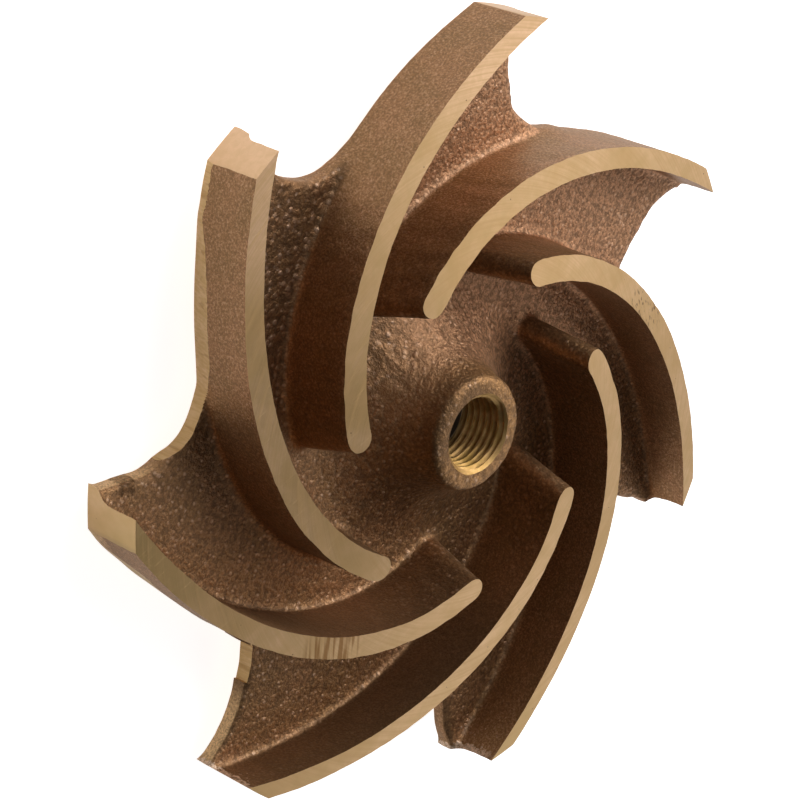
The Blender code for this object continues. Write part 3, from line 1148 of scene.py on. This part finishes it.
# %% Where the wheel ground
GROUND_EDGES = {
    "ground_beside_the_long_edge": [
        # angle in degrees, radius in mm, and how far the cut leans out for each mm up
        (-102.0, 64.50, 0.10), (-98.4, 61.85, 0.12), (-95.9, 60.00, 0.18), (-94.1, 58.80, 0.24),
        (-90.3, 55.87, 0.28), (-85.7, 52.94, 0.27), (-80.7, 50.15, 0.26), (-76.4, 48.00, 0.25),
        (-72.6, 46.42, 0.24), (-70.3, 45.69, 0.24), (-68.4, 45.60, 0.14), (-65.6, 45.79, 0.0),
        (-63.0, 46.30, 0.0), (-60.6, 47.35, 0.0), (-58.9, 48.95, 0.0), (-58.1, 50.50, 0.0),
        (-57.0, 52.70, 0.0), (-56.3, 55.10, 0.0), (-56.2, 57.60, 0.0), (-56.8, 59.60, 0.0)],
    "ground_vane_foot": [
        (-50.6, 64.60, 0.07), (-49.0, 63.30, 0.07), (-47.0, 61.95, 0.07), (-45.2, 60.60, 0.07),
        (-42.6, 58.55, 0.08), (-38.7, 55.95, 0.10), (-33.2, 52.50, 0.12),
        (-28.2, 50.10, 0.12), (-22.5, 48.10, 0.12), (-17.0, 46.60, 0.10), (-13.5, 45.70, 0.06),
        (-10.3, 45.00, 0.04)],
    "ground_notch": [
        (-10.9, 44.90, 0.0), (-10.1, 45.35, 0.0), (-8.9, 46.35, 0.0), (-7.3, 47.80, 0.0),
        (-5.8, 49.90, 0.0)],
}
print("places on the ground edges:", sum(len(places) for places in GROUND_EDGES.values()))

# %% [markdown]
# ## Grinding
#
# A bar is swept along each row of places, on a smooth curve, since straight lines would leave
# facets. Its inner side leans with the wheel, and the rest of it lies outside the disc. A curve
# with a bevel would tilt the bar in the bends, and here it has to stand upright.

# %% Grinding
STEPS_BETWEEN = 4
BELOW = 1.0 * MM
TOP = 20.0 * MM
BAR_WIDTH = 3.0 * MM


def smooth_path(stations):
    """Places on a smooth curve through the stations, each with its lean."""
    angles, radii, leans = np.array(stations).T
    angles = np.radians(angles)
    rows = np.column_stack((radii * MM * np.cos(angles), radii * MM * np.sin(angles), leans))
    rows = np.vstack((2 * rows[0] - rows[1], rows, 2 * rows[-1] - rows[-2]))
    path = []
    for before, first, second, after in zip(rows, rows[1:], rows[2:], rows[3:]):
        for share in np.arange(STEPS_BETWEEN) / STEPS_BETWEEN:
            bend = 2 * before - 5 * first + 4 * second - after
            twist = 3 * first - before - 3 * second + after
            path.append(first + share * ((second - before) + share * (bend + share * twist)) / 2)
    path.append(rows[-2])
    return np.array(path)


def bar_rings(path):
    """Four corners of the bar at each place of the path."""
    along = np.gradient(path[:, :2], axis=0)
    outwards = np.column_stack((along[:, 1], -along[:, 0]))
    outwards /= np.linalg.norm(outwards, axis=1)[:, None]
    outwards *= np.sign((outwards * path[:, :2]).sum(axis=1))[:, None]
    rings = []
    for (x, y, lean), out in zip(path, outwards):
        corners = ((-lean * BELOW, BACK_Z - BELOW), (lean * (TOP - BACK_Z), TOP),
                   (BAR_WIDTH, TOP), (BAR_WIDTH, BACK_Z - BELOW))
        rings.append([(x + out[0] * offset, y + out[1] * offset, height)
                      for offset, height in corners])
    return rings


for name, places in GROUND_EDGES.items():
    bar = closed_tube(name, bar_rings(smooth_path(places)), ground_bronze)
    cut(casting, bar, "DIFFERENCE")
    print(name, "leaves", count_triangles(casting.data), "triangles")

# %% [markdown]
# ## Marking the corners
#
# The points are final now. Each one looks up the nearest place of the old net and takes over what
# was noted there, in a point attribute that the cast skin reads.

# %% Marking the corners
corner_marks = casting.data.attributes.new("corner", "FLOAT", "POINT")
nearest = [skin_places.find(vertex.co)[1] for vertex in casting.data.vertices]
corner_marks.data.foreach_set("value", corner[nearest])
faces = np.bincount([polygon.material_index for polygon in casting.data.polygons])
print("faces of each finish:", dict(zip(casting.data.materials.keys(), faces.tolist())))

# %% [markdown]
# ## White paper
#
# The part stands on white paper, which glows a little, as a lit white table does, and a bit more
# for the camera alone, so that it comes out white. A stronger light would bleach the bronze too.

# %% White paper
PAPER_WHITE = (0.93, 0.93, 0.93, 1.0)
PAPER_GLOW = (0.33, 0.33, 0.33, 1.0)
PAPER_GLOW_SEEN = (0.85, 0.85, 0.85, 1.0)
PAPER_SIZE = 4.0
PAPER_GAP = 0.05 * MM

paper_mesh = bpy.data.meshes.new("floor")
paper_shape = bmesh.new()
bmesh.ops.create_grid(paper_shape, x_segments=1, y_segments=1, size=PAPER_SIZE)
paper_shape.to_mesh(paper_mesh)
paper_shape.free()
floor = add_object("floor", paper_mesh)
floor.location.z = -PAPER_GAP
paper, tree, shader, place = new_material("paper", Roughness=0.9, Emission_Strength=1.0,
                                          Base_Color=PAPER_WHITE)
seen = add_node(tree, "LightPath", {}).outputs["Is Camera Ray"]
feed(tree, shader, {"Emission Color": mix_colours(tree, seen, PAPER_GLOW, PAPER_GLOW_SEEN)})
paper_mesh.materials.append(paper)
print("paper:", PAPER_SIZE, "m from the middle to each side")

# %% [markdown]
# ## Studio light
#
# Soft panels surround the part. The main one stands high on one side, and weaker ones follow
# round the back. The side of the camera has only a faint one high up, which keeps the channels
# deep brown. They are painted into the world as soft round spots, so no lamp comes into a view.

# %% Studio light
PANELS = [
    # azimuth and elevation in degrees, then how bright
    (180, 35, 3.5),
    (135, 35, 1.0),
    (90, 35, 0.35),
    (72, 8, 1.0),
    (216, 8, 0.36),
    (288, 62, 0.3),
]
PANEL_EDGE = 0.8
ROOM = 0.02

world = bpy.data.worlds.new("studio")
world.use_nodes = True
tree = world.node_tree
direction = add_node(tree, "TexCoord", {}).outputs["Generated"]
light = ROOM
for azimuth, elevation, brightness in PANELS:
    aligned = vector_maths(tree, "DOT_PRODUCT", direction, towards(azimuth, elevation))
    light = share_of(tree, step_between(tree, aligned, PANEL_EDGE, 1.0), brightness, light)
feed(tree, tree.nodes["Background"].inputs, {"Color": (1.0, 1.0, 1.0, 1.0), "Strength": light})
bpy.context.scene.world = world
bpy.context.scene.view_settings.view_transform = "Standard"
print("soft panels:", len(PANELS))

# %% [markdown]
# ## Handing over
#
# The skin is shaded smooth, but the edges that the machines left stay sharp, and an angle picks
# them out. The casting then takes the place of the plain solid.

# %% Handing over
SHARP_FROM = math.radians(38)

casting.data.shade_smooth()
casting.data.set_sharp_from_angle(angle=SHARP_FROM)
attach(casting, "root")
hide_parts("impeller_casting")
